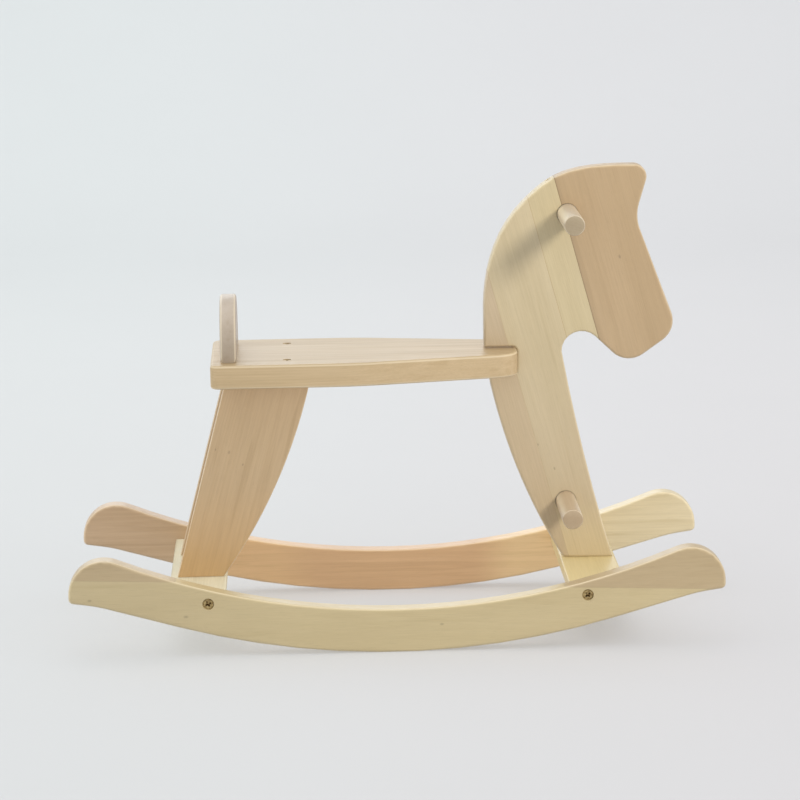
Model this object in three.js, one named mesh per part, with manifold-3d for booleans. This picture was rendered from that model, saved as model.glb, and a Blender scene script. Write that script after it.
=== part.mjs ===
// Wooden rocking horse for a small child, in millimetres.
// +X points to the head, +Y to the horse's left, +Z up. The origin is on the floor, midway between
// the rockers and midway along them. Every piece is flat board, round dowel or wood screw.

import * as THREE from 'three';
import { mergeVertices } from 'three/addons/utils/BufferGeometryUtils.js';
import Module from 'manifold-3d';

const wasm = await Module();
wasm.setup();

// ---- driving dimensions -------------------------------------------------------------------------

const gap = 0.3; // clearance kept between pieces that touch
const rad = Math.PI / 180;

const horse = { width: 252, length: 656 };
const rocker = {
  thickness: 19, edge: 2.4,
  bottomRadius: 790, bottomHalfAngle: 16, bottomFacets: 11,
  topRadius: 750, topSteps: 22,
  humpRadius: 35, humpHeight: 66,
  flareStart: 290, flareRadius: 150, flareAngle: 8.3, tipRadius: 5,
};
const crossbar = { centre: 201, width: 57, thickness: 14, top: 62.5, edge: 1.8 };
const seat = {
  top: 284.5, thickness: 24, edge: 2.6, rear: -182.8, front: 128.5, halfWidth: 71.5,
  taperStart: -36, taperAngle: 10.9, bendRadius: 250, rearCorner: 8, frontCorner: 24,
};
const leg = {
  spacing: 88, thickness: 18, edge: 1.6,
  footRear: -222, footFront: -175, topRear: -169.7, topFront: -84, bulge: 10.6,
};
const panel = {
  thickness: 18, edge: 2.2, footRear: 176, footFront: 226.6, footCorner: 2.5, frontHollow: 3,
  rearTop: 99, rearBulge: 9, heelInset: 3.2, heelRise: 4,
};
const backrest = { rear: -172.8, thickness: 16.5, halfWidth: 56, height: 60, corner: 55, edge: 2.6 };
const handle = { x: 180.9, z: 421.6, radius: 10.3, length: 178, chamfer: 1 };
const footPeg = { x: 178.2, z: 123, radius: 10.3, length: 178, chamfer: 1 };

// The head's front runs round these circles. Turn is 1 where the edge bulges and -1 where it is hollow.
const throat = { x: 195.1, z: 280, radius: 20.4, turn: -1 };
const chin = { x: 244, z: 295.5, radius: 24.7, turn: 1 };
const nose = { x: 264.2, z: 309.5, radius: 24.5, turn: 1 };
const forehead = { x: 294.8, z: 419, radius: 42.5, turn: -1 };
const ear = { x: 248.9, z: 458.1, radius: 12.6, turn: 1 };
const earEnd = 88; // the angle where the ear's arc runs into the crest

// The crest, from the ear back, and the nape, down to the seat, are cubic curves' control points.
const crest = [[249.4, 470.7], [178.6, 472.3], [162.8, 460.4], [135.6, 433.9]];
const nape = [[135.6, 433.9], [102.7, 401], [94.4, 354.8], [95.3, 318]];

// The panel's glue lines: their x at the height of the handle, and how far they lean forward going
// down. The first and the last lie outside the panel.
const glue = { x: [-300, 83.9, 145.3, 177.7, 480], slope: 0.2718 };

const rockerScrew = { headRadius: 5.2, headHeight: 3, shankRadius: 2 };
const rockerScrewAt = { x: 189.5, z: 54.5, length: 48 };
const bore = { radius: 5.9, depth: 3.6 }; // counterbore that the rocker screws' heads sit in
const smallScrew = { headRadius: 3.8, headHeight: 2.4, shankRadius: 1.8 };
const lockScrew = { headRadius: 2.6, headHeight: 1.6, shankRadius: 1.6 };
const headSink = 0.5; // how far a small screw's head lies below the wood
const lockSink = 1.4;
const dowelPin = { radius: 4, depth: 14 };
const seatScrewAt = { x: -105.8, length: 48 };
const backrestScrewAt = { y: 22, length: 50 };
const legScrewAt = { x: -197, length: 45 };
const panelScrewAt = { x: [193, 210], length: 45 };
const legPinX = -150;
const panelPinX = 114.5;
const lockMouths = { handle: [161.2, 456.2], foot_peg: [150.1, 108.4] }; // on the panel's rear edge

const rockerOuter = horse.width / 2;
const rockerInner = rockerOuter - rocker.thickness;
const crossbarEnd = rockerInner - gap;
const crossbarBottom = crossbar.top - crossbar.thickness;
const crossbarPinX = 2 * crossbar.centre - rockerScrewAt.x;
const crossbarMiddle = crossbar.top - crossbar.thickness / 2;
const seatBottom = seat.top - seat.thickness;
const legBottom = crossbar.top + gap;
const legTop = seatBottom - gap;
const legY = leg.spacing / 2;
const backrestX = backrest.rear + backrest.thickness / 2;
const notch = { end: seat.front + gap, top: seat.top + 1.6, bottom: seatBottom - gap, corner: 4 };

const finish = {
  paleWood: { color: 0xd3c29b, roughness: 0.62, metalness: 0 },
  warmWood: { color: 0xc0a07a, roughness: 0.62, metalness: 0 },
  pinkWood: { color: 0xc9ad8c, roughness: 0.62, metalness: 0 },
  dowelWood: { color: 0xbda588, roughness: 0.6, metalness: 0 },
  steel: { color: 0x6b5b40, roughness: 0.4, metalness: 1 },
};

// ---- outlines -----------------------------------------------------------------------------------

// Points along an arc from one angle to another, in degrees, anticlockwise when the angle grows.
function arc(cx, cy, radius, from, to, steps) {
  return Array.from({ length: steps + 1 }, (_, i) => {
    const a = (from + (to - from) * i / steps) * rad;
    return new THREE.Vector2(cx + radius * Math.cos(a), cy + radius * Math.sin(a));
  });
}

// Points along a cubic curve given by its four control points.
function cubic(a, b, c, d, steps) {
  const [p, q, r, s] = [a, b, c, d].map(([x, y]) => new THREE.Vector2(x, y));
  return new THREE.CubicBezierCurve(p, q, r, s).getPoints(steps);
}

// Points along a shallow arc between two points, bulging to the right of the direction of travel.
function bulgedLine([x0, y0], [x1, y1], bulge, steps) {
  const chord = Math.hypot(x1 - x0, y1 - y0);
  const nx = (y1 - y0) / chord;
  const ny = (x0 - x1) / chord;
  return Array.from({ length: steps + 1 }, (_, i) => {
    const t = i / steps;
    const lift = 4 * bulge * t * (1 - t);
    return new THREE.Vector2(x0 + (x1 - x0) * t + nx * lift, y0 + (y1 - y0) * t + ny * lift);
  });
}

// Rounds the corner at b between the directions to a and c.
function fillet(a, b, c, radius, steps) {
  const [p, q, r] = [a, b, c].map(([x, y]) => new THREE.Vector2(x, y));
  const u = p.clone().sub(q).normalize();
  const v = r.clone().sub(q).normalize();
  const half = u.angleTo(v) / 2;
  const centre = u.clone().add(v).normalize().multiplyScalar(radius / Math.sin(half)).add(q);
  const start = u.multiplyScalar(radius / Math.tan(half)).add(q).sub(centre).angle() / rad;
  const end = v.multiplyScalar(radius / Math.tan(half)).add(q).sub(centre).angle() / rad;
  const turn = ((end - start + 540) % 360) - 180;
  return arc(centre.x, centre.y, radius, start, start + turn, steps);
}

// Arcs round a run of circles, as a belt runs round pulleys, with straight stretches between them.
function belt(circles, startAngle, endAngle, steps) {
  const headings = circles.slice(1).map((next, i) => {
    const { x, z, radius, turn } = circles[i];
    const apart = Math.hypot(next.x - x, next.z - z);
    const lean = Math.asin((turn * radius - next.turn * next.radius) / apart);
    return (Math.atan2(next.z - z, next.x - x) + lean) / rad;
  });
  return circles.flatMap(({ x, z, radius, turn }, i) => {
    const from = i === 0 ? startAngle : headings[i - 1] - 90 * turn;
    const to = i === headings.length ? endAngle : headings[i] - 90 * turn;
    return arc(x, z, radius, from, to, steps);
  });
}

const point = (x, y) => new THREE.Vector2(x, y);

// Joins runs of points into one closed outline, without a point that all but coincides with the next.
function outline(...runs) {
  const closest = 0.2;
  const points = runs.flat();
  return points.filter((p, i) => p.distanceTo(points[(i + 1) % points.length]) > closest);
}

// ---- solids -------------------------------------------------------------------------------------

function toSolid(geometry) {
  const bare = geometry.clone();
  bare.deleteAttribute('normal');
  bare.deleteAttribute('uv');
  const merged = mergeVertices(bare, 1e-4);
  const triangles = [];
  for (let i = 0; i < merged.index.count; i += 3) {
    const [a, b, c] = [0, 1, 2].map((k) => merged.index.getX(i + k));
    if (a !== b && b !== c && c !== a) triangles.push(a, b, c);
  }
  const vertProperties = new Float32Array(merged.attributes.position.array);
  const triVerts = new Uint32Array(triangles);
  return new wasm.Manifold(new wasm.Mesh({ numProp: 3, vertProperties, triVerts }));
}

function toGeometry(solid) {
  const mesh = solid.getMesh();
  const geometry = new THREE.BufferGeometry();
  geometry.setAttribute('position', new THREE.BufferAttribute(mesh.vertProperties, 3));
  geometry.setIndex(new THREE.BufferAttribute(mesh.triVerts, 1));
  return geometry;
}

// A board with rounded edges, extruded along its local Z and centred on it.
function boardGeometry(points, thickness, edge) {
  return new THREE.ExtrudeGeometry(new THREE.Shape(points), {
    depth: thickness - 2 * edge, steps: 1, bevelEnabled: true,
    bevelThickness: edge, bevelSize: edge, bevelOffset: -edge, bevelSegments: 2,
  }).translate(0, 0, edge - thickness / 2);
}

// A board standing in the X-Z plane, with its middle plane at y.
function standingBoard(points, thickness, edge, y = 0) {
  return toSolid(boardGeometry(points, thickness, edge).rotateX(90 * rad).translate(0, y, 0));
}

// A board lying flat, with its middle plane at z.
function lyingBoard(points, thickness, edge, z) {
  return toSolid(boardGeometry(points, thickness, edge).translate(0, 0, z));
}

// Moves a shape that was made along +Y from the origin, so that it starts at a place and runs that way.
function aim(geometry, place, direction) {
  const turn = new THREE.Quaternion();
  turn.setFromUnitVectors(new THREE.Vector3(0, 1, 0), new THREE.Vector3(...direction).normalize());
  return geometry.applyQuaternion(turn).translate(...place);
}

function rod(radius, length, place, direction, sides = 12) {
  const cylinder = new THREE.CylinderGeometry(radius, radius, length, sides).translate(0, length / 2, 0);
  return toSolid(aim(cylinder, place, direction));
}

// A rod that runs as far to each side of a place.
function crossingRod(radius, reach, place, direction, sides) {
  const start = new THREE.Vector3(...place).addScaledVector(new THREE.Vector3(...direction), -reach);
  return rod(radius, 2 * reach, start.toArray(), direction, sides);
}

// A dowel pin across the joint between two pieces, and the hole that it needs in both.
const pin = (place, direction) => crossingRod(dowelPin.radius, dowelPin.depth - gap, place, direction);
const pinHole = (place, direction) => crossingRod(dowelPin.radius + gap, dowelPin.depth, place, direction);

// A dowel across the horse, centred on y = 0, with a small chamfer on both ends.
function crossDowel({ x, z, radius, length, chamfer }) {
  const half = length / 2;
  const profile = [
    point(0, -half), point(radius - chamfer, -half), point(radius, chamfer - half),
    point(radius, half - chamfer), point(radius - chamfer, half), point(0, half),
  ];
  return toSolid(new THREE.LatheGeometry(profile, 26).translate(x, 0, z));
}

// A countersunk wood screw with a cross recess. Its head's top is at a place and it runs that way.
function screw(type, length, place, direction) {
  const { headRadius, headHeight, shankRadius } = type;
  const rim = headHeight * 0.2;
  const profile = [
    point(0, 0), point(headRadius, 0), point(headRadius, rim), point(shankRadius, headHeight),
    point(shankRadius, length - 3 * shankRadius), point(0, length),
  ];
  const body = toSolid(new THREE.LatheGeometry(profile, 14));
  const slot = [headRadius * 1.15, headHeight * 0.9, headRadius * 0.22];
  const recess = toSolid(new THREE.BoxGeometry(...slot))
    .add(toSolid(new THREE.BoxGeometry(...slot.toReversed())));
  return toSolid(aim(toGeometry(body.subtract(recess)), place, direction));
}

// The hole that such a screw needs: a bore for its head, open to the air, and a pilot for its shank.
function screwHole(type, length, place, direction, boreRadius = type.headRadius + gap) {
  const openAir = 20;
  const unit = new THREE.Vector3(...direction).normalize();
  const mouth = new THREE.Vector3(...place).addScaledVector(unit, -openAir);
  const head = rod(boreRadius, openAir + type.headHeight + gap, mouth.toArray(), direction, 20);
  return head.add(rod(type.shankRadius + gap, length + 2 * gap, place, direction, 8));
}

const horseGroup = new THREE.Group();

function add(name, solid, look) {
  const mesh = new THREE.Mesh(toGeometry(solid), new THREE.MeshStandardMaterial(look));
  mesh.name = name;
  horseGroup.add(mesh);
}

const sides = [['left', 1], ['right', -1]];
const ends = [['front', 1], ['rear', -1]];
const up = [0, 0, 1];
const down = [0, 0, -1];
const across = [0, 1, 0];

// ---- rockers ------------------------------------------------------------------------------------

// The front half of the rocker's outline, from the bottom of its curve round the tip to its top.
function rockerHalf() {
  const { bottomRadius, bottomHalfAngle, bottomFacets, topRadius, topSteps, humpRadius, humpHeight,
    flareStart, flareRadius, flareAngle, tipRadius } = rocker;
  const tip = horse.length / 2;
  const humpX = tip - humpRadius;
  const topCentre = humpHeight + Math.sqrt((topRadius + humpRadius) ** 2 - humpX ** 2);
  const joinAngle = Math.atan2(humpX, topCentre - humpHeight) / rad;
  const facet = 2 * bottomHalfAngle / bottomFacets;
  const soleRadius = bottomRadius / Math.cos(facet * rad / 2);
  const soleSteps = (bottomFacets - 1) / 2;
  const sole = arc(0, bottomRadius, soleRadius, facet / 2 - 90, bottomHalfAngle - 90, soleSteps);
  const last = sole.at(-1);
  const rise = Math.tan(bottomHalfAngle * rad);
  const flareZ = last.y + (flareStart - last.x) * rise;
  const flareX = flareStart + flareRadius * Math.sin(bottomHalfAngle * rad);
  const flare = arc(flareX, flareZ - flareRadius * Math.cos(bottomHalfAngle * rad), flareRadius,
    90 + bottomHalfAngle, 90 + flareAngle, 4);
  const lift = flare.at(-1);
  const toeZ = lift.y + (tip - lift.x) * Math.tan(flareAngle * rad);
  const toe = fillet([lift.x, lift.y], [tip, toeZ], [tip, humpHeight], tipRadius, 4);
  const hump = arc(humpX, humpHeight, humpRadius, 0, 90 + joinAngle, 14);
  const topHalf = arc(0, topCentre, topRadius, joinAngle - 90, -90, topSteps / 2);
  return outline(sole, flare, toe, hump, topHalf, [point(0, 0)]).slice(0, -1);
}

const rockerOutline = (() => {
  const front = rockerHalf();
  const rear = front.slice(0, -1).map((p) => point(-p.x, p.y)).reverse();
  return [...front, ...rear];
})();

// The way in from a rocker's outer face, and the top of the head of the screw there.
function rockerScrewStart(sign, way) {
  const y = sign * (rockerOuter - bore.depth + rockerScrew.headHeight - gap);
  return [[way * rockerScrewAt.x, y, rockerScrewAt.z], [0, -sign, 0]];
}

for (const [side, sign] of sides) {
  const middle = sign * (rockerOuter - rocker.thickness / 2);
  let solid = standingBoard(rockerOutline, rocker.thickness, rocker.edge, middle);
  for (const [end, way] of ends) {
    const start = rockerScrewStart(sign, way);
    solid = solid.subtract(screwHole(rockerScrew, rockerScrewAt.length, ...start, bore.radius));
    add(`${side}_${end}_rocker_screw`, screw(rockerScrew, rockerScrewAt.length, ...start), finish.steel);

    const joint = [way * crossbarPinX, sign * rockerInner, crossbarMiddle];
    solid = solid.subtract(pinHole(joint, across));
    add(`${side}_${end}_crossbar_pin`, pin(joint, across), finish.dowelWood);
  }
  add(`${side}_rocker`, solid, finish.paleWood);
}

// ---- crossbars ----------------------------------------------------------------------------------

// The tops of the heads of the screws that come up through the crossbars.
const legScrewSpot = (sign) => [legScrewAt.x, sign * legY, crossbarBottom + headSink];
const panelScrewSpots = panelScrewAt.x.map((x) => [x, 0, crossbarBottom + headSink]);

for (const [end, way] of ends) {
  const half = crossbar.width / 2;
  const plan = [[-half, -crossbarEnd], [half, -crossbarEnd], [half, crossbarEnd], [-half, crossbarEnd]];
  const corners = plan.map(([x, y]) => point(way * crossbar.centre + x, y));
  let solid = lyingBoard(corners, crossbar.thickness, crossbar.edge, crossbarMiddle);
  for (const [, sign] of sides) {
    solid = solid.subtract(screwHole(rockerScrew, rockerScrewAt.length, ...rockerScrewStart(sign, way)));
    solid = solid.subtract(pinHole([way * crossbarPinX, sign * rockerInner, crossbarMiddle], across));
  }
  const spots = way > 0 ? panelScrewSpots : sides.map(([, sign]) => legScrewSpot(sign));
  for (const spot of spots) solid = solid.subtract(screwHole(smallScrew, legScrewAt.length, spot, up));
  add(`${end}_crossbar`, solid, finish.paleWood);
}

// ---- seat ---------------------------------------------------------------------------------------

// The left half of the seat's outline, from its front end back to its rear edge.
function seatHalf() {
  const { rear, front, halfWidth, taperStart, taperAngle, bendRadius, rearCorner, frontCorner } = seat;
  const tipY = halfWidth - (front - taperStart) * Math.tan(taperAngle * rad);
  const nose = fillet([front, 0], [front, tipY], [taperStart, halfWidth], frontCorner, 7);
  const bend = fillet([front, tipY], [taperStart, halfWidth], [rear, halfWidth], bendRadius, 4);
  const tail = fillet([taperStart, halfWidth], [rear, halfWidth], [rear, 0], rearCorner, 6);
  return [...nose, ...bend, ...tail];
}

const seatScrewSpot = (sign) => [seatScrewAt.x, sign * legY, seat.top - headSink];
const backrestScrewSpot = (sign) => [backrestX, sign * backrestScrewAt.y, seatBottom + headSink];
const legPinSpot = (sign) => [legPinX, sign * legY, seatBottom];
const panelPinSpot = [panelPinX, 0, seatBottom];

{
  const left = seatHalf();
  const right = left.map((p) => point(p.x, -p.y)).reverse();
  let solid = lyingBoard([...left, ...right], seat.thickness, seat.edge, seat.top - seat.thickness / 2);
  for (const [side, sign] of sides) {
    const topScrew = [smallScrew, seatScrewAt.length, seatScrewSpot(sign), down];
    const backScrew = [smallScrew, backrestScrewAt.length, backrestScrewSpot(sign), up];
    solid = solid.subtract(screwHole(...topScrew)).subtract(screwHole(...backScrew));
    solid = solid.subtract(pinHole(legPinSpot(sign), up));
    add(`${side}_seat_screw`, screw(...topScrew), finish.steel);
    add(`${side}_backrest_screw`, screw(...backScrew), finish.steel);
    add(`${side}_leg_pin`, pin(legPinSpot(sign), up), finish.dowelWood);
  }
  add('seat_board', solid.subtract(pinHole(panelPinSpot, up)), finish.warmWood);
  add('seat_front_pin', pin(panelPinSpot, up), finish.dowelWood);
}

// ---- rear legs ----------------------------------------------------------------------------------

const legOutline = outline(
  [point(leg.footRear, legBottom)],
  bulgedLine([leg.footFront, legBottom], [leg.topFront, legTop], leg.bulge, 14),
  [point(leg.topRear, legTop)],
);

for (const [side, sign] of sides) {
  const footScrew = [smallScrew, legScrewAt.length, legScrewSpot(sign), up];
  const solid = standingBoard(legOutline, leg.thickness, leg.edge, sign * legY)
    .subtract(screwHole(smallScrew, seatScrewAt.length, seatScrewSpot(sign), down))
    .subtract(pinHole(legPinSpot(sign), up))
    .subtract(screwHole(...footScrew));
  add(`${side}_rear_leg`, solid, finish.warmWood);
  add(`${side}_leg_screw`, screw(...footScrew), finish.steel);
}

// ---- backrest -----------------------------------------------------------------------------------

{
  const { halfWidth, height, corner, edge, thickness } = backrest;
  const base = seat.top + gap;
  const top = base + height;
  const points = outline(
    [point(-halfWidth, base), point(halfWidth, base)],
    arc(halfWidth - corner, top - corner, corner, 0, 90, 6),
    arc(corner - halfWidth, top - corner, corner, 90, 180, 6),
  );
  const upright = new THREE.Matrix4().makeBasis(
    new THREE.Vector3(0, 1, 0), new THREE.Vector3(0, 0, 1), new THREE.Vector3(1, 0, 0));
  const geometry = boardGeometry(points, thickness, edge).applyMatrix4(upright);
  let solid = toSolid(geometry.translate(backrestX, 0, 0));
  for (const [, sign] of sides) {
    solid = solid.subtract(screwHole(smallScrew, backrestScrewAt.length, backrestScrewSpot(sign), up));
  }
  add('backrest', solid, finish.pinkWood);
}

// ---- head, neck and front leg: one panel glued up from slanting staves --------------------------

// Runs from the front leg's foot up its front edge, round the head and down the nape, round the notch
// that holds the seat's front end, and down the leg's rear edge.
const throatRear = [throat.x - throat.radius, throat.z];
const legRearTop = [panel.rearTop, notch.bottom];
const legRearFoot = [panel.footRear - panel.heelInset, legBottom + panel.heelRise];
const neckFoot = [nape.at(-1)[0], notch.top];
const panelOutline = outline(
  bulgedLine([panel.footFront, legBottom], throatRear, -panel.frontHollow, 6),
  belt([throat, chin, nose, forehead, ear], 180, earEnd, 8),
  cubic(...crest, 12),
  cubic(...nape, 10),
  [point(...neckFoot)],
  fillet(neckFoot, [notch.end, notch.top], [notch.end, notch.bottom], notch.corner, 3),
  [point(notch.end, notch.bottom)],
  bulgedLine(legRearTop, legRearFoot, panel.rearBulge, 14),
  fillet(legRearFoot, [panel.footRear, legBottom], [panel.footFront, legBottom], panel.footCorner, 2),
);

// The panel's part between two glue lines.
function stave(solid, fromX, toX) {
  const lean = Math.atan(glue.slope);
  const width = (toX - fromX) * Math.cos(lean) - gap;
  const slab = new THREE.BoxGeometry(width, 2 * panel.thickness, 2 * horse.length).rotateY(-lean);
  return solid.intersect(toSolid(slab.translate((fromX + toX) / 2, 0, handle.z)));
}

{
  let solid = standingBoard(panelOutline, panel.thickness, panel.edge);

  // A small locking screw runs in from the panel's rear edge to each dowel's middle.
  for (const [name, dowel] of [['handle', handle], ['foot_peg', footPeg]]) {
    const [mouthX, mouthZ] = lockMouths[name];
    const mouth = new THREE.Vector3(mouthX, 0, mouthZ);
    const run = new THREE.Vector3(dowel.x, 0, dowel.z).sub(mouth);
    const headTop = mouth.addScaledVector(run.clone().normalize(), lockSink);
    const lock = [lockScrew, run.length() - lockSink, headTop.toArray(), run.toArray()];
    const seatHole = crossingRod(dowel.radius + gap, panel.thickness, [dowel.x, 0, dowel.z], across, 26);
    solid = solid.subtract(seatHole).subtract(screwHole(...lock));
    add(`${name}_dowel`, crossDowel(dowel).subtract(screwHole(...lock)), finish.dowelWood);
    add(`${name}_lock_screw`, screw(...lock), finish.steel);
  }

  panelScrewSpots.forEach((spot, i) => {
    const footScrew = [smallScrew, panelScrewAt.length, spot, up];
    solid = solid.subtract(screwHole(...footScrew));
    add(`front_leg_screw_${i + 1}`, screw(...footScrew), finish.steel);
  });
  solid = solid.subtract(pinHole(panelPinSpot, up));

  add('head_front_stave', stave(solid, glue.x[3], glue.x[4]), finish.warmWood);
  add('middle_stave', stave(solid, glue.x[2], glue.x[3]), finish.paleWood);
  add('main_stave', stave(solid, glue.x[1], glue.x[2]), finish.paleWood);

  // The seat's notch parts the rearmost stave into one piece in the neck and one in the leg.
  const rearmost = stave(solid, glue.x[0], glue.x[1]).decompose();
  rearmost.sort((a, b) => b.boundingBox().max[2] - a.boundingBox().max[2]);
  ['neck_rear_stave', 'leg_rear_stave'].forEach((name, i) => add(name, rearmost[i], finish.pinkWood));
}

export default horseGroup;
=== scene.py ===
"""Studio scene of a wooden rocking horse: bare, sanded boards, dowels and yellow-plated wood screws.

Everything is in metres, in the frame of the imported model: +X to the head, +Y to the horse's left, +Z up.
"""

import math

import bmesh
import bpy
import numpy as np
from mathutils import Matrix, Vector


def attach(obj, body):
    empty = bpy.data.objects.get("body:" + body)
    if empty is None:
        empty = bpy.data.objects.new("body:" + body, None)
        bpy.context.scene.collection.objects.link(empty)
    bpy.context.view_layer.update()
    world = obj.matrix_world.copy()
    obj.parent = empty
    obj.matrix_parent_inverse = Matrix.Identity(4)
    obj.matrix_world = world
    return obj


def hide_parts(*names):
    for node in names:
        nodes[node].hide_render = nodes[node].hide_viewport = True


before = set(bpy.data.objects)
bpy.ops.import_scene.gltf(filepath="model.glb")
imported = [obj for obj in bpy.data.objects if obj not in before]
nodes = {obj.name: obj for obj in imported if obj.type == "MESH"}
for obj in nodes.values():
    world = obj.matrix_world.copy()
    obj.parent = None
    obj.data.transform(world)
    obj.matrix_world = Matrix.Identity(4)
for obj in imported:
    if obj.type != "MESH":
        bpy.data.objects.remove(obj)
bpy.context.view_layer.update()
scene = bpy.context.scene

X, Y, Z = Vector((1, 0, 0)), Vector((0, 1, 0)), Vector((0, 0, 1))
MM = 0.001


# ---- camera -------------------------------------------------------------------------------------

CAMERA_PLACE = (-0.0954, -3.0101, 0.8662)
CAMERA_PITCH = math.radians(11.905)  # below the horizon
CAMERA_YAW = math.radians(1.984)  # from +Y towards +X
CAMERA_ROLL = math.radians(-0.878)
CAMERA_LENS = 135.0  # mm
SENSOR_WIDTH = 36.0  # mm


def make_camera():
    data = bpy.data.cameras.new("camera")
    data.lens = CAMERA_LENS
    data.sensor_width = SENSOR_WIDTH
    camera = bpy.data.objects.new("camera", data)
    turn = (
        Matrix.Rotation(-CAMERA_YAW, 4, "Z")
        @ Matrix.Rotation(math.pi / 2 - CAMERA_PITCH, 4, "X")
        @ Matrix.Rotation(CAMERA_ROLL, 4, "Z")
    )
    camera.matrix_world = Matrix.Translation(CAMERA_PLACE) @ turn
    scene.collection.objects.link(camera)
    scene.camera = camera


# ---- shader helpers -----------------------------------------------------------------------------


def srgb(red, green, blue):
    """A colour given as 0 to 255 screen values, as the linear colour that a shader takes."""
    parts = [c / 255 for c in (red, green, blue)]
    return [c / 12.92 if c <= 0.04045 else ((c + 0.055) / 1.055) ** 2.4 for c in parts] + [1.0]


class Shader:
    """A node material under construction."""

    def __init__(self, name):
        self.material = bpy.data.materials.new(name)
        self.material.use_nodes = True
        self.tree = self.material.node_tree
        self.bsdf = next(n for n in self.tree.nodes if n.type == "BSDF_PRINCIPLED")

    def put(self, socket, value):
        if isinstance(value, bpy.types.NodeSocket):
            self.tree.links.new(value, socket)
        else:
            socket.default_value = value

    def node(self, kind, settings=(), **sockets):
        made = self.tree.nodes.new("ShaderNode" + kind)
        for key, value in dict(settings).items():
            setattr(made, key, value)
        for key, value in sockets.items():
            self.put(made.inputs[key.replace("_", " ")], value)
        return made

    def math(self, operation, *values, clamp=False):
        made = self.node("Math", {"operation": operation, "use_clamp": clamp})
        for socket, value in zip(made.inputs, values):
            self.put(socket, value)
        return made.outputs[0]

    def vector(self, operation, *values):
        made = self.node("VectorMath", {"operation": operation})
        for socket, value in zip(made.inputs, values):
            self.put(socket, value)
        return made.outputs["Value" if operation in ("DOT_PRODUCT", "LENGTH") else "Vector"]

    def combine(self, x, y, z):
        return self.node("CombineXYZ", X=x, Y=y, Z=z).outputs[0]

    def noise(self, vector, scale, detail=2.0, roughness=0.5):
        """Noise from 0 to 1. Its scale may differ along the three axes."""
        stretched = self.vector("MULTIPLY", vector, scale)
        made = self.node("TexNoise", Vector=stretched, Scale=1.0, Detail=detail, Roughness=roughness)
        return made.outputs[0]

    def fit(self, value, low, high, to_low=0.0, to_high=1.0):
        """Maps low..high smoothly to to_low..to_high, and stops there."""
        made = self.node("MapRange", {"interpolation_type": "SMOOTHSTEP"}, Value=value)
        for name, number in zip(("From Min", "From Max", "To Min", "To Max"), (low, high, to_low, to_high)):
            made.inputs[name].default_value = number
        return made.outputs[0]

    def mix(self, factor, a, b, blend="MIX"):
        made = self.node("Mix", {"data_type": "RGBA", "blend_type": blend})
        for socket, value in zip((made.inputs[0], made.inputs[6], made.inputs[7]), (factor, a, b)):
            self.put(socket, value)
        return made.outputs[2]

    def surface(self, colour, rough, bump):
        self.put(self.bsdf.inputs["Base Color"], colour)
        self.put(self.bsdf.inputs["Roughness"], rough)
        self.put(self.bsdf.inputs["Normal"], bump.outputs[0])


# ---- wood ---------------------------------------------------------------------------------------


LIGHT_TINT = (1.07, 1.075, 1.09)  # early wood and late wood, as shares of the board's mean colour
DARK_TINT = (0.92, 0.90, 0.85)
END_TINT = (0.9, 1.0, 1.25)  # how strongly end grain darkens red, green and blue
# Rounded edges: partly paler sanded wood, partly a painted highlight.
SANDED_AND_HIGHLIGHT_CREAM = srgb(226, 214, 186)
SANDED_AND_HIGHLIGHT_SHARE = 0.42  # how far the rounded edges fade to cream: paler sanded wood and a painted highlight
SANDED_AND_HIGHLIGHT_LIFT = 0.06  # and how much paler they are, as a share, also partly a painted highlight
PITH_ACROSS = 18 * MM  # how far the tree's centre lies across and behind a board's face
PITH_BEHIND = 60 * MM
RING_WANDER = 7 * MM  # how far the growth rings wander
BORE_SHADE_WIDTH = 1.4 * MM  # how wide the painted shade round a bore is, where its dowel sits
BORE_SHADE_SHARE = 0.45  # the share of light left in the painted shade at a bore's edge, and in a knot
KNOT_DARK = 0.72


def tinted(colour, tint):
    return [c * t for c, t in zip(colour, tint)] + [1.0]


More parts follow.
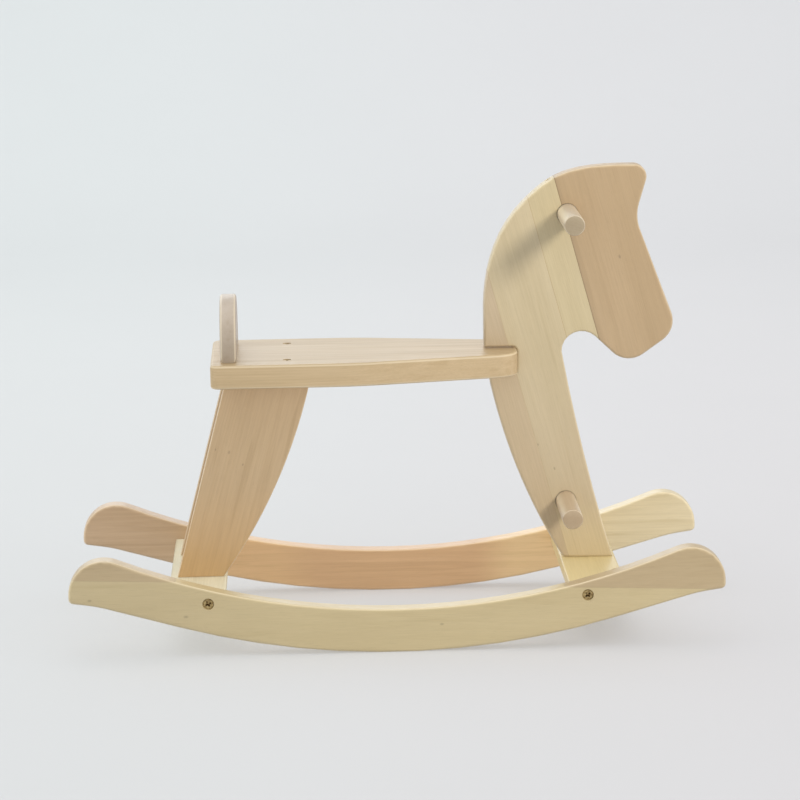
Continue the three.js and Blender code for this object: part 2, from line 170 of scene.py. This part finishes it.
class Wood(Shader):
    """Bare sanded wood, whose every pattern runs right through the board."""

    def __init__(self, name, fibre, face, seed):
        super().__init__(name)
        self.fibre, self.face = Vector(fibre).normalized(), Vector(face).normalized()
        self.place = self.node("TexCoord").outputs["Object"]
        self.across_at = self.vector("DOT_PRODUCT", self.place, self.face.cross(self.fibre))
        self.deep_at = self.vector("DOT_PRODUCT", self.place, self.face)
        along_at = self.vector("DOT_PRODUCT", self.place, self.fibre)
        self.local = self.combine(along_at, self.across_at, self.deep_at)
        self.shifted = self.vector("ADD", self.local, (seed * 1.37, seed * 0.71, seed * 0.53))

    def late_wood(self, ring):
        """The dark part of the growth rings round the pith, 0 to about 1."""
        wander = self.noise(self.shifted, (2.6, 11, 11), detail=2.0)
        elsewhere = self.vector("ADD", self.shifted, (7.1, 3.3, 5.9))
        wander_deep = self.noise(elsewhere, (1.7, 8, 8), detail=1.0)
        shift = self.math("MULTIPLY_ADD", wander, 2 * RING_WANDER, -RING_WANDER)
        shift_deep = self.math("MULTIPLY_ADD", wander_deep, 2 * RING_WANDER, -RING_WANDER)
        ring_y = self.math("ADD", self.math("SUBTRACT", self.across_at, PITH_ACROSS), shift)
        ring_z = self.math("ADD", self.math("ADD", self.deep_at, PITH_BEHIND), shift_deep)
        radius = self.vector("LENGTH", self.combine(0.0, ring_y, ring_z))
        growth = self.noise(self.shifted, (0.6, 9, 9), detail=0.0)
        rings_per_metre = self.fit(growth, 0.3, 0.7, 0.85 / (ring * MM), 1.15 / (ring * MM))
        phase = self.math("FRACT", self.math("MULTIPLY", radius, rings_per_metre))
        late = self.math("SUBTRACT", self.fit(phase, 0.15, 0.86), self.fit(phase, 0.9, 1.0))
        strength = self.fit(self.noise(self.shifted, (3.1, 34, 34)), 0.36, 0.62, 0.2, 1.25)
        return self.math("MULTIPLY", late, strength)

    def darkness(self, late_wood, streaks, figure):
        """From 0 for the board's light tone to 1 for its dark one."""
        clouds = self.noise(self.shifted, (5, 26, 26), detail=2.0)
        marks = self.fit(self.noise(self.shifted, (8, 150, 150), detail=1.0), 0.6, 0.76)
        blend = self.math("MULTIPLY_ADD", late_wood, 0.19 * figure, 0.12)
        blend = self.math("MULTIPLY_ADD", marks, 0.5 * figure, blend)
        blend = self.math("ADD", blend, self.fit(clouds, 0.25, 0.78, 0.0, 0.5))
        streaked = self.fit(streaks, 0.3, 0.75, -0.10 * figure, 0.18 * figure)
        return self.math("ADD", blend, streaked, clamp=True)

    def tones(self, blend, tone, bands):
        """The mean colour of each place, with its strips in another tone, some of them painted light and
        shade.
        """
        colour = self.mix(blend, tinted(tone, LIGHT_TINT), tinted(tone, DARK_TINT))
        for axis, at, width, strip, strength in bands:
            side = self.vector("DOT_PRODUCT", self.place, Vector(axis))
            strip_colour = self.mix(blend, tinted(strip, LIGHT_TINT), tinted(strip, DARK_TINT))
            share = self.fit(side, (at - width / 2) * MM, (at + width / 2) * MM, 0.0, strength)
            colour = self.mix(share, colour, strip_colour)
        return colour

    def shade(self, fibres, flecks, lines, bores, knots):
        """The share of light left by the fibres, flecks, glue lines and knots, and by the painted shade
        round the bores.
        """
        grey = self.fit(fibres, 0.25, 0.8, 1.035, 0.945)
        grey = self.math("MULTIPLY", grey, self.math("MULTIPLY_ADD", flecks, -0.07, 1.0))
        for axis, at, width, strength in lines:
            side = self.vector("DOT_PRODUCT", self.place, Vector(axis))
            beside = self.math("ABSOLUTE", self.math("SUBTRACT", side, at * MM))
            grey = self.math("MULTIPLY", grey, self.fit(beside, 0.0, width * MM, 1.0 - strength, 1.0))
        # Painted shade: a dark ring round each bore, where the dowel meets the board.
        for x, z, radius in bores:
            offset = self.vector("SUBTRACT", self.place, (x * MM, 0, z * MM))
            from_axis = self.vector("LENGTH", self.vector("MULTIPLY", offset, (1, 0, 1)))
            rim = self.fit(from_axis, radius * MM, radius * MM + BORE_SHADE_WIDTH, BORE_SHADE_SHARE, 1.0)
            grey = self.math("MULTIPLY", grey, rim)
        for along, sideways, size in knots:
            offset = self.vector("SUBTRACT", self.local, (along * MM, sideways * MM, 0))
            away = self.vector("LENGTH", self.vector("MULTIPLY", offset, (0.55, 1, 0)))
            grey = self.math("MULTIPLY", grey, self.fit(away, 0.25 * size * MM, size * MM, KNOT_DARK, 1.0))
        return grey


def wood(
    name, tone, fibre, face, seed, ring=3.4, figure=1.0, ends=0.12, wax=0.4,
    knots=(), bands=(), lines=(), bores=(),
):
    """Makes a board's material.

    tone is its mean colour, fibre the direction of the grain and face the normal of the board's broad
    side. ring is the growth rings' width in mm, figure the strength of the grain, ends how much darker
    the end grain is, as a share, and wax the weight of the wax coat. knots are (along, across, size) in
    mm from the frame's origin. bands are (axis, place, width, colour, strength): strips in another tone,
    from their place onwards; some are wood tone, some painted light and some painted shade. lines are
    (axis, place, width, strength): thin dark glue lines. bores are (x, z, radius): holes across the
    board, each ringed with painted shade where its dowel sits.
    """
    s = Wood(name, fibre, face, seed)
    streaks = s.noise(s.shifted, (6, 210, 210), detail=3.0, roughness=0.6)
    fibres = s.noise(s.shifted, (30, 1500, 1500), detail=2.0, roughness=0.6)
    flecks = s.fit(s.noise(s.shifted, (110, 2100, 2100), detail=0.0), 0.66, 0.8)
    late_wood = s.late_wood(ring)
    colour = s.tones(s.darkness(late_wood, streaks, figure), tone, bands)
    grey = s.shade(fibres, flecks, lines, bores, knots)

    # End grain is darker, and the rounded edges are paler: partly sanded wood, partly a painted highlight.
    normal = s.node("TexCoord").outputs["Normal"]
    end_grain = s.math("POWER", s.math("ABSOLUTE", s.vector("DOT_PRODUCT", normal, s.fibre)), 6.0)
    tilt = s.math("ABSOLUTE", s.vector("DOT_PRODUCT", normal, s.face))
    rounding = s.math("MULTIPLY", s.math("MULTIPLY", tilt, s.math("SUBTRACT", 1.0, tilt)), 4.0)
    rounding = s.math("POWER", rounding, 2.0)
    grey = s.math("MULTIPLY", grey, s.math("MULTIPLY_ADD", rounding, SANDED_AND_HIGHLIGHT_LIFT, 1.0))
    colour = s.mix(1.0, colour, s.combine(grey, grey, grey), "MULTIPLY")
    colour = s.mix(s.math("MULTIPLY", rounding, SANDED_AND_HIGHLIGHT_SHARE), colour, SANDED_AND_HIGHLIGHT_CREAM)
    end_shade = [1 - ends * c for c in END_TINT] + [1.0]
    colour = s.mix(end_grain, colour, s.mix(1.0, colour, end_shade, "MULTIPLY"))

    height = s.math("ADD", s.math("MULTIPLY", fibres, 0.6), s.math("MULTIPLY", late_wood, 0.35))
    height = s.math("SUBTRACT", height, s.math("MULTIPLY", flecks, 0.6))
    bump = s.node("Bump", Strength=0.35, Distance=0.12 * MM, Height=height)
    rough = s.math("ADD", s.fit(streaks, 0.3, 0.7, 0.36, 0.46), s.math("MULTIPLY", end_grain, 0.15))
    s.surface(colour, rough, bump)
    s.bsdf.inputs["Specular IOR Level"].default_value = 0.7
    s.bsdf.inputs["Coat Weight"].default_value = wax
    s.bsdf.inputs["Coat Roughness"].default_value = 0.34
    return s.material


def steel():
    """Yellow-plated steel with fine turning marks and worn, darker patches."""
    s = Shader("plated_steel")
    place = s.node("TexCoord").outputs["Object"]
    patches = s.fit(s.noise(place, (420, 420, 420), detail=3.0), 0.3, 0.72)
    scratches = s.noise(place, (3800, 900, 3800), detail=2.0, roughness=0.7)
    colour = s.mix(patches, srgb(196, 172, 122), srgb(142, 118, 80))
    bump = s.node("Bump", Strength=0.25, Distance=0.05 * MM, Height=scratches)
    s.surface(colour, s.fit(scratches, 0.3, 0.7, 0.28, 0.46), bump)
    s.bsdf.inputs["Metallic"].default_value = 1.0
    return s.material


STAVE_SLOPE = 0.2718  # how far the panel's staves lean back, per unit of height
STAVE_FIBRE = Vector((-STAVE_SLOPE, 0, 1)).normalized()
GLUE_NORMAL = Vector((1, 0, STAVE_SLOPE)).normalized()
LEG_FIBRE = Vector((0.262, 0, 0.965)).normalized()
HANDLE_BORE = (180.9, 421.6, 10.3)  # x, z and radius in mm
PEG_BORE = (178.2, 123.0, 10.3)
STRIP_AXIS = (0.038, 0, 1)  # the near rocker's upper strip starts on a slightly tilted line, 69.5 mm up
STRIP_START = 69.5


def joint_place(stave):
    """How far along the joints' normal a stave's rear cut lies, in mm."""
    return min(v.co.dot(GLUE_NORMAL) for v in nodes[stave].data.vertices) / MM


def dress_boards():
    """Each board and dowel gets wood of its own tone, grain direction and place in the tree."""
    head_joint = joint_place("head_front_stave")
    looks = {
        "right_rocker": dict(
            tone=srgb(185, 168, 128), fibre=X, face=-Y, seed=1.0, figure=0.6,
            bands=(
                # The first band is painted shade: the rocker darkens towards its rear end, where less light
                # falls.
                (-X, 190, 220, srgb(179, 162, 124), 0.8),
                (STRIP_AXIS, STRIP_START, 0.6, srgb(170, 149, 115), 0.85),
            ),
            lines=((STRIP_AXIS, STRIP_START, 0.5, 0.12),),
            knots=((-212, 42, 1.9), (-307, 61, 1.6), (43, 28, 1.6)),
        ),
        "left_rocker": dict(
            tone=srgb(193, 157, 117), fibre=X, face=-Y, seed=2.0, figure=1.7,
            # Paler towards the front end and darker on the rear horn: partly wood tone, partly painted light
            # where the key falls and painted shadow of the rear legs.
            bands=(
                (X, 112, 50, srgb(211, 182, 137), 0.9), (X, 205, 60, srgb(205, 191, 156), 0.9),
                (-X, 100, 60, srgb(204, 169, 124), 0.8), (-X, 205, 50, srgb(173, 147, 117), 0.9),
            ),
        ),
        "front_crossbar": dict(tone=srgb(203, 185, 136), fibre=Y, face=Z, seed=3.0),
        "rear_crossbar": dict(tone=srgb(213, 206, 179), fibre=Y, face=Z, seed=4.0, wax=0.04),
        "seat_board": dict(tone=srgb(187, 164, 128), fibre=X, face=Z, seed=5.0, figure=1.7, wax=0.04),
        "left_rear_leg": dict(tone=srgb(172, 146, 112), fibre=LEG_FIBRE, face=-Y, seed=6.0),
        "right_rear_leg": dict(
            tone=srgb(179, 153, 117), fibre=LEG_FIBRE, face=-Y, seed=7.0, figure=1.2, ring=5.0,
            # The upper band is painted shade under the seat's edge; the lower one makes the leg oranger
            # towards its foot.
            bands=((-Z, -120, 110, srgb(188, 152, 103), 0.8), (Z, 240, 120, srgb(170, 142, 106), 0.7)),
            knots=((142, 211, 1.5), (141.5, 225, 1.1), (133, 194.5, 1.1)),
        ),
        "backrest": dict(tone=srgb(164, 150, 134), fibre=Y, face=X, seed=8.0),
        "neck_rear_stave": dict(tone=srgb(184, 165, 135), fibre=STAVE_FIBRE, face=-Y, seed=9.0, figure=0.6),
        "leg_rear_stave": dict(tone=srgb(184, 164, 132), fibre=STAVE_FIBRE, face=-Y, seed=10.0, figure=0.6),
        "main_stave": dict(
            tone=srgb(190, 174, 140), fibre=STAVE_FIBRE, face=-Y, seed=11.0, figure=0.6,
            bands=((-Z, -230, 160, srgb(186, 168, 136), 0.9), (-Z, -110, 60, srgb(199, 180, 142), 0.9)),
            knots=((137.4, -192.6, 1.1), (121.4, -191, 1.1), (111.7, -190.3, 1.1), (108.2, -202.2, 1.4)),
            bores=(HANDLE_BORE, PEG_BORE),
        ),
        "middle_stave": dict(
            tone=srgb(190, 174, 137), fibre=STAVE_FIBRE, face=-Y, seed=12.0, figure=0.6,
            bores=(HANDLE_BORE, PEG_BORE),
        ),
        "head_front_stave": dict(
            tone=srgb(174, 149, 114), fibre=STAVE_FIBRE, face=-Y, seed=13.0, figure=0.8,
            bores=(HANDLE_BORE,),
            lines=((GLUE_NORMAL, head_joint, 1.2, 0.2), (GLUE_NORMAL, head_joint, 7.0, 0.1)),
            knots=((302.3, -324.6, 1.7),),
        ),
        "handle_dowel": dict(tone=srgb(179, 164, 141), fibre=Y, face=Z, seed=14.0, ends=0.32),
        "foot_peg_dowel": dict(tone=srgb(173, 151, 122), fibre=Y, face=Z, seed=15.0, ends=0.1),
    }
    for name, look in looks.items():
        set_material(nodes[name], wood(name + "_wood", **look))
    pin_wood = wood("pin_wood", tone=srgb(184, 164, 130), fibre=Z, face=Y, seed=16.0)
    for name, node in nodes.items():
        if name.endswith("_pin"):
            set_material(node, pin_wood)


def set_material(piece, material):
    piece.data.materials.clear()
    piece.data.materials.append(material)


# ---- smooth shading of the boards' rounded edges ------------------------------------------------

CREASE_ANGLE = math.radians(58)
WELD_DISTANCE = 0.002 * MM


def smooth_shade_group():
    """A geometry node group that welds a mesh and shades it smooth, apart from its sharp creases."""
    tree = bpy.data.node_groups.new("smooth_shade", "GeometryNodeTree")
    tree.interface.new_socket("Geometry", in_out="INPUT", socket_type="NodeSocketGeometry")
    tree.interface.new_socket("Geometry", in_out="OUTPUT", socket_type="NodeSocketGeometry")
    start, end = tree.nodes.new("NodeGroupInput"), tree.nodes.new("NodeGroupOutput")
    weld = tree.nodes.new("GeometryNodeMergeByDistance")
    weld.inputs["Distance"].default_value = WELD_DISTANCE
    faces = tree.nodes.new("GeometryNodeSetShadeSmooth")
    faces.domain = "FACE"
    edges = tree.nodes.new("GeometryNodeSetShadeSmooth")
    edges.domain = "EDGE"
    edges.inputs["Shade Smooth"].default_value = False
    angle = tree.nodes.new("GeometryNodeInputMeshEdgeAngle")
    sharp = tree.nodes.new("FunctionNodeCompare")
    sharp.operation = "GREATER_THAN"
    sharp.inputs[1].default_value = CREASE_ANGLE
    link = tree.links.new
    link(start.outputs[0], weld.inputs["Geometry"])
    link(weld.outputs[0], faces.inputs["Geometry"])
    link(faces.outputs[0], edges.inputs["Geometry"])
    link(angle.outputs["Unsigned Angle"], sharp.inputs[0])
    link(sharp.outputs[0], edges.inputs["Selection"])
    link(edges.outputs[0], end.inputs[0])
    return tree


def shade_smooth(piece, group):
    shade = piece.modifiers.new("smooth_shade", "NODES")
    shade.node_group = group


def smooth_boards(group):
    for node in nodes.values():
        shade_smooth(node, group)
        weighted = node.modifiers.new("weighted_normals", "WEIGHTED_NORMAL")
        weighted.weight = 100
        weighted.keep_sharp = True


# ---- glue ---------------------------------------------------------------------------------------

GLUE_GAP = 0.3 * MM
GLUE_CLEARANCE = 0.01  # the part of the gap left open on each side of the film


def dry_glue(name, tone):
    """Hardened glue, in uneven patches."""
    s = Shader(name)
    place = s.node("TexCoord").outputs["Object"]
    patches = s.fit(s.noise(place, (90, 90, 90), detail=3.0), 0.3, 0.7)
    colour = s.mix(patches, tinted(tone, LIGHT_TINT), tinted(tone, DARK_TINT))
    bump = s.node("Bump", Strength=0.2, Distance=0.05 * MM, Height=patches)
    s.surface(colour, s.fit(patches, 0.0, 1.0, 0.4, 0.55), bump)
    return s.material


def glue_film(name, stave, colour):
    """Fills the joint behind a stave: its rear cut face, made as thick as the gap."""
    mesh = bmesh.new()
    mesh.from_mesh(nodes[stave].data)
    bmesh.ops.remove_doubles(mesh, verts=mesh.verts, dist=0.001 * MM)
    mesh.normal_update()
    others = [f for f in mesh.faces if f.normal.dot(GLUE_NORMAL) > -0.9999 or f.calc_area() < 1e-9]
    bmesh.ops.delete(mesh, geom=others, context="FACES")
    bmesh.ops.translate(mesh, verts=mesh.verts, vec=-GLUE_CLEARANCE * GLUE_GAP * GLUE_NORMAL)
    made = bmesh.ops.extrude_face_region(mesh, geom=mesh.faces[:])
    moved = [v for v in made["geom"] if isinstance(v, bmesh.types.BMVert)]
    bmesh.ops.translate(mesh, verts=moved, vec=-(1 - 2 * GLUE_CLEARANCE) * GLUE_GAP * GLUE_NORMAL)
    bmesh.ops.recalc_face_normals(mesh, faces=mesh.faces)
    film = object_from(mesh, name)
    set_material(film, dry_glue(name, colour))
    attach(film, "root")


def glue_panel():
    glue_film("rear_glue_line", "main_stave", srgb(180, 160, 126))
    glue_film("middle_glue_line", "middle_stave", srgb(160, 134, 98))
    glue_film("front_glue_line", "head_front_stave", srgb(108, 78, 48))


# ---- screws -------------------------------------------------------------------------------------

SHANK_SHARE = 0.45  # of the head's radius
THREAD_PITCH = 1.15  # the thread's pitch and depth, as shares of the shank's radius
THREAD_DEPTH = 0.3
SCREW_SIDES = 28
ROWS_PER_TURN = 5
TIP_ROWS = 7
RECESS_TURN = {"right_front_rocker_screw": 50, "right_rear_rocker_screw": 62}  # degrees, as the photo shows
NEXT_TURN = 37  # degrees from one other screw's recess to the next, by order of name


def screw_axis(node):
    """Where a screw's head top is and which way its shank runs, and the head's radius and length."""
    points = np.array([v.co for v in node.data.vertices], float)
    centre = points.mean(axis=0)
    spread = np.linalg.svd(points - centre, full_matrices=False)[2][0]
    along = (points - centre) @ spread
    away = np.linalg.norm(points - centre - np.outer(along, spread), axis=1)
    direction = spread if along[away.argmax()] < 0 else -spread
    along = (points - centre) @ direction
    top = centre + direction * along.min()
    return Vector(top), Vector(direction), away.max(), along.max() - along.min()


def screw_rows(head, length, shank):
    """A screw's outline down its length, as (radius, z, depth of thread as a share)."""
    rim = 0.09 * head
    neck = rim + (head - shank)
    rows = [(head * 0.9, 0.0, 0.0), (head * 0.97, 0.03 * head, 0.0), (head, rim, 0.0), (shank, neck, 0.0)]
    thread_start, tip_start = neck + 2 * shank, length - 3 * shank
    rows.append((shank, thread_start, 0.0))
    steps = int((tip_start - thread_start) / (THREAD_PITCH * shank) * ROWS_PER_TURN)
    for i in range(1, steps + 1):
        rows.append((shank, thread_start + (tip_start - thread_start) * i / steps, 1.0))
    for i in range(1, TIP_ROWS):
        share = i / TIP_ROWS
        rows.append((shank * (1 - share), tip_start + (length - tip_start) * share, 1 - share))
    return rows


def screw_mesh(head, length, shank):
    """A countersunk screw along +Z, its head's top at the origin, with a helical thread to its tip."""
    mesh = bmesh.new()
    loops = []
    for radius, z, threaded in screw_rows(head, length, shank):
        loop = []
        for k in range(SCREW_SIDES):
            turn = k / SCREW_SIDES
            wave = abs((z / (THREAD_PITCH * shank) - turn) % 1.0 - 0.5) * 2
            r = radius - threaded * THREAD_DEPTH * shank * wave * wave
            angle = math.tau * turn
            loop.append(mesh.verts.new((r * math.cos(angle), r * math.sin(angle), z)))
        loops.append(loop)
    for lower, upper in zip(loops, loops[1:]):
        for k in range(SCREW_SIDES):
            j = (k + 1) % SCREW_SIDES
            mesh.faces.new((lower[k], lower[j], upper[j], upper[k]))
    mesh.faces.new(list(reversed(loops[0])))
    tip = mesh.verts.new((0, 0, length))
    for k in range(SCREW_SIDES):
        mesh.faces.new((loops[-1][k], loops[-1][(k + 1) % SCREW_SIDES], tip))
    bmesh.ops.recalc_face_normals(mesh, faces=mesh.faces)
    return mesh


def recess_mesh(head):
    """The tapered cross that is cut into a screw's head, along +Z."""
    mesh = bmesh.new()
    reach, width, depth, taper = 0.62 * head, 0.15 * head, 0.75 * head, 0.42
    outline = []
    for quarter in range(4):
        turn = Matrix.Rotation(quarter * math.pi / 2, 2)
        for corner in ((reach, -width), (reach, width), (width * 1.5, width * 1.5)):
            outline.append(turn @ Vector(corner))
    top = [mesh.verts.new((p.x, p.y, -0.1 * head)) for p in outline]
    floor = [mesh.verts.new((p.x * taper, p.y * taper, depth)) for p in outline]
    mesh.faces.new(list(reversed(top)))
    mesh.faces.new(floor)
    for k in range(len(top)):
        j = (k + 1) % len(top)
        mesh.faces.new((top[k], top[j], floor[j], floor[k]))
    bmesh.ops.recalc_face_normals(mesh, faces=mesh.faces)
    return mesh


def object_from(mesh, name):
    data = bpy.data.meshes.new(name)
    mesh.to_mesh(data)
    mesh.free()
    made = bpy.data.objects.new(name, data)
    scene.collection.objects.link(made)
    return made


def cut(piece, tool):
    """Cuts the tool's shape out of the piece, and removes the tool."""
    boolean = piece.modifiers.new("cut", "BOOLEAN")
    boolean.operation, boolean.solver, boolean.object = "DIFFERENCE", "EXACT", tool
    bpy.context.view_layer.update()
    evaluated = piece.evaluated_get(bpy.context.evaluated_depsgraph_get())
    cut_data = bpy.data.meshes.new_from_object(evaluated)
    piece.modifiers.clear()
    piece.data = cut_data
    bpy.data.objects.remove(tool)


def build_screws(group):
    """Turned, threaded screws with cross recesses stand for the plain ones."""
    metal = steel()
    for i, name in enumerate(sorted(n for n in nodes if "_screw" in n)):
        top, direction, head, length = screw_axis(nodes[name])
        mesh = screw_mesh(head, length, head * SHANK_SHARE)
        piece = object_from(mesh, name.replace("_screw", "_wood_screw"))
        cut(piece, object_from(recess_mesh(head), "recess"))
        spin = Matrix.Rotation(math.radians(RECESS_TURN.get(name, NEXT_TURN * i)), 4, "Z")
        turn = direction.to_track_quat("Z", "Y").to_matrix().to_4x4()
        piece.data.transform(Matrix.Translation(top) @ turn @ spin)
        set_material(piece, metal)
        for polygon in piece.data.polygons:
            polygon.use_smooth = True
        shade_smooth(piece, group)
        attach(piece, "root")
        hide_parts(name)


# ---- studio -------------------------------------------------------------------------------------


PAPER_NEAR = srgb(186, 186, 186)
PAPER_FAR = srgb(215, 217, 217)
PAPER_LEFT = (1.03, 1.05, 1.05, 1.0)
PAPER_RIGHT = (1.04, 1.02, 1.03, 1.0)
NEAR_TO_FAR = (-0.4, 4.0)  # y, and x, between which the paper's tone changes
LEFT_TO_RIGHT = (-0.6, 0.6)
BEND_STEPS = 24
AIM = Vector((0, 0, 0.22))
KEY_DIRECTION = (0.585, -0.63, 0.51)
KEY_COLOUR = (1.0, 0.97, 0.93)


def paper():
    """Matt paper with a faint mottle, whose tone shifts from near to far and from left to right."""
    s = Shader("paper")
    place = s.node("TexCoord").outputs["Object"]
    back = s.fit(s.vector("DOT_PRODUCT", place, Y), *NEAR_TO_FAR)
    right = s.fit(s.vector("DOT_PRODUCT", place, X), *LEFT_TO_RIGHT)
    mottle = s.fit(s.noise(place, (3, 3, 3), detail=3.0), 0.0, 1.0, 1.0, 0.985)
    sideways = s.mix(right, PAPER_LEFT, PAPER_RIGHT)
    colour = s.mix(1.0, s.mix(back, PAPER_NEAR, PAPER_FAR), sideways, "MULTIPLY")
    colour = s.mix(1.0, colour, s.combine(mottle, mottle, mottle), "MULTIPLY")
    s.put(s.bsdf.inputs["Base Color"], colour)
    s.bsdf.inputs["Roughness"].default_value = 0.8
    s.bsdf.inputs["Specular IOR Level"].default_value = 0.2
    return s.material


def make_sweep():
    """A pale floor that curves up into a backdrop."""
    mesh = bmesh.new()
    half_width, front, bend, radius, top = 9.0, -6.0, 2.4, 2.2, 6.0
    section = [(front, 0.0), (bend, 0.0)]
    for i in range(1, BEND_STEPS + 1):
        angle = i / BEND_STEPS * math.pi / 2
        section.append((bend + radius * math.sin(angle), radius * (1 - math.cos(angle))))
    section.append((bend + radius, top))
    rows = [[mesh.verts.new((x, y, z)) for x in (-half_width, half_width)] for y, z in section]
    for lower, upper in zip(rows, rows[1:]):
        mesh.faces.new((lower[0], lower[1], upper[1], upper[0]))
    sweep = object_from(mesh, "studio_sweep")
    for polygon in sweep.data.polygons:
        polygon.use_smooth = True
    set_material(sweep, paper())
    return sweep


def soft_box(name, direction, distance, size, watts, colour):
    """Makes a square area light that shines on the horse from a direction."""
    data = bpy.data.lights.new(name, "AREA")
    data.shape, data.size = "SQUARE", size
    data.energy, data.color = watts, colour
    light = bpy.data.objects.new(name, data)
    towards = Vector(direction).normalized()
    light.location = AIM + towards * distance
    light.rotation_euler = towards.to_track_quat("Z", "Y").to_euler()
    light.visible_camera = False
    scene.collection.objects.link(light)
    return light


def link_lights(name, objects, state):
    """A collection of objects that a light is linked to, or kept from, for light or for shadow."""
    linked = bpy.data.collections.new(name)
    for piece in objects:
        linked.objects.link(piece)
    for member in linked.collection_objects:
        member.light_linking.link_state = state
    return linked


def light_studio(sweep):
    """The photo's soft, even light. Linking keeps each light from pieces and shadows that it would spoil."""
    world = bpy.data.worlds.new("studio")
    world.use_nodes = True
    background = next(n for n in world.node_tree.nodes if n.type == "BACKGROUND")
    background.inputs["Color"].default_value = (0.97, 0.985, 1.0, 1.0)
    background.inputs["Strength"].default_value = 0.75
    scene.world = world
    top = soft_box("top", (-0.3, 0.1, 1.0), 3.4, 3.2, 39.0, (0.98, 0.99, 1.0))
    rim = soft_box("left_rim", (-1.0, 0.0, 0.08), 3.0, 1.2, 52.0, (1.0, 0.99, 0.97))
    back = soft_box("back", (-0.2, 1.0, 0.42), 4.2, 3.0, 42.0, (0.96, 0.985, 1.0))
    key = soft_box("key", KEY_DIRECTION, 2.6, 0.6, 44.0, KEY_COLOUR)
    far_key = soft_box("far_key", KEY_DIRECTION, 2.6, 0.6, 44.0, KEY_COLOUR)
    wash = soft_box("paper_wash", (0.0, -0.05, 1.0), 3.6, 3.6, 107.0, (1.0, 1.0, 1.0))
    dowels = [nodes["handle_dowel"], nodes["foot_peg_dowel"]]
    for light, pieces in {key: dowels, top: dowels, wash: dowels, far_key: dowels[:1]}.items():
        light.light_linking.blocker_collection = link_lights(light.name + "_shadows", pieces, "INCLUDE")
    for light in (key, far_key, rim):
        light.visible_glossy = False
    seat, crossbar, far_rocker = nodes["seat_board"], nodes["rear_crossbar"], nodes["left_rocker"]
    for light, pieces in {wash: [sweep], far_key: [far_rocker]}.items():
        light.light_linking.receiver_collection = link_lights(light.name + "_lit", pieces, "INCLUDE")
    unlit = {top: [seat], key: [sweep, far_rocker], back: [sweep, crossbar], rim: [sweep, crossbar]}
    for light, pieces in unlit.items():
        light.light_linking.receiver_collection = link_lights(light.name + "_unlit", pieces, "EXCLUDE")
    scene.view_settings.view_transform = "Standard"


make_camera()
light_studio(make_sweep())
smooth_group = smooth_shade_group()
smooth_boards(smooth_group)
dress_boards()
glue_panel()
build_screws(smooth_group)
